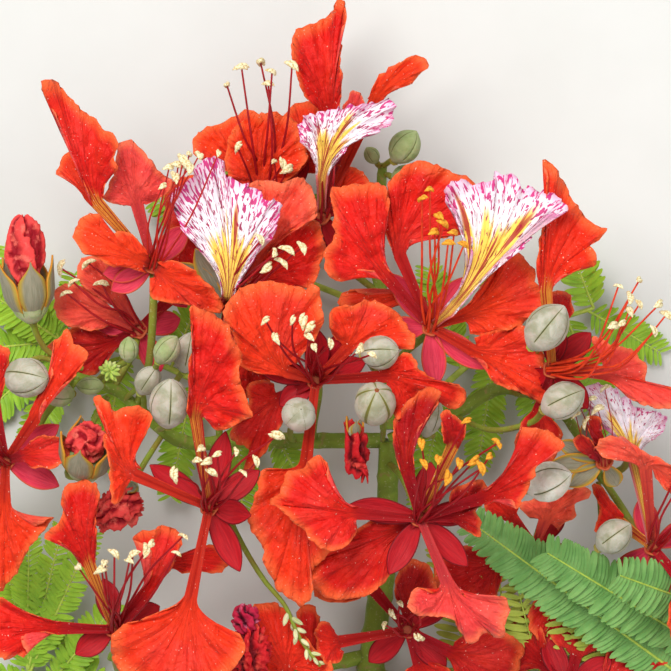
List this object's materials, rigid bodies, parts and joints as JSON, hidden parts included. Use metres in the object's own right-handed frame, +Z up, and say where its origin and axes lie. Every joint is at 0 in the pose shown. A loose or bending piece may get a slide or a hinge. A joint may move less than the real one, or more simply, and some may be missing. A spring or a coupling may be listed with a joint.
{
  "type": "cut flowering branch end",
  "caption": "Cut end of a flowering tree branch, lying flat: red blooms with a streaked petal, round buds on stalks and feathery leaves on one woody stem.",
  "frame": {"origin": "on the surface it rests on, under the middle of its box", "axes": "+Z up through the blooms, -Y along the stem towards its cut end"},
  "size_m": [0.317, 0.2842, 0.116],
  "materials": {
    "stem": "green bark, satin",
    "petal": "soft petal, satin",
    "bud": "fine hairs, matte",
    "burst_bud": "crumpled, matte",
    "leaf": "thin leaf, satin"
  },
  "bodies": {
    "root": {"axis_left": "stem", "axis_low": "stem", "axis_right": "stem", "axis_top": "stem", "bloom_back_bottom": "petal", "bloom_back_left": "petal", "bloom_back_low": "petal", "bloom_back_right": "petal", "bloom_below": "petal", "bloom_bottom_left": "petal", "bloom_centre": "petal", "bloom_centre_right": "petal", "bloom_left_edge": "petal", "bloom_lower_left": "petal", "bloom_lower_right": "petal", "bloom_right": "petal", "bloom_right_edge": "petal", "bloom_spent": "petal", "bloom_streaked": "petal", "bloom_top": "petal", "bloom_top_left": "petal", "bloom_upper_left": "petal", "bud_centre": "bud", "bud_centre_green": "bud", "bud_centre_left": "bud", "bud_centre_small": "bud", "bud_hub_far": "bud", "bud_hub_high": "bud", "bud_hub_left": "bud", "bud_hub_right": "bud", "bud_left": "bud", "bud_left_edge": "bud", "bud_left_green": "bud", "bud_left_upper": "bud", "bud_right": "bud", "bud_right_dark": "bud", "bud_right_edge": "bud", "bud_right_low": "bud", "bud_top": "bud", "bud_top_low": "bud", "bud_top_small": "bud", "burst_left": "burst_bud", "burst_left_edge": "burst_bud", "leaf_back_right": "leaf", "leaf_back_top": "leaf", "leaf_left": "leaf", "leaf_low_left": "leaf", "leaf_right": "leaf", "main_stem": "stem", "withered_bottom": "burst_bud", "withered_centre": "burst_bud", "withered_low_left": "burst_bud"}
  },
  "joints": []
}
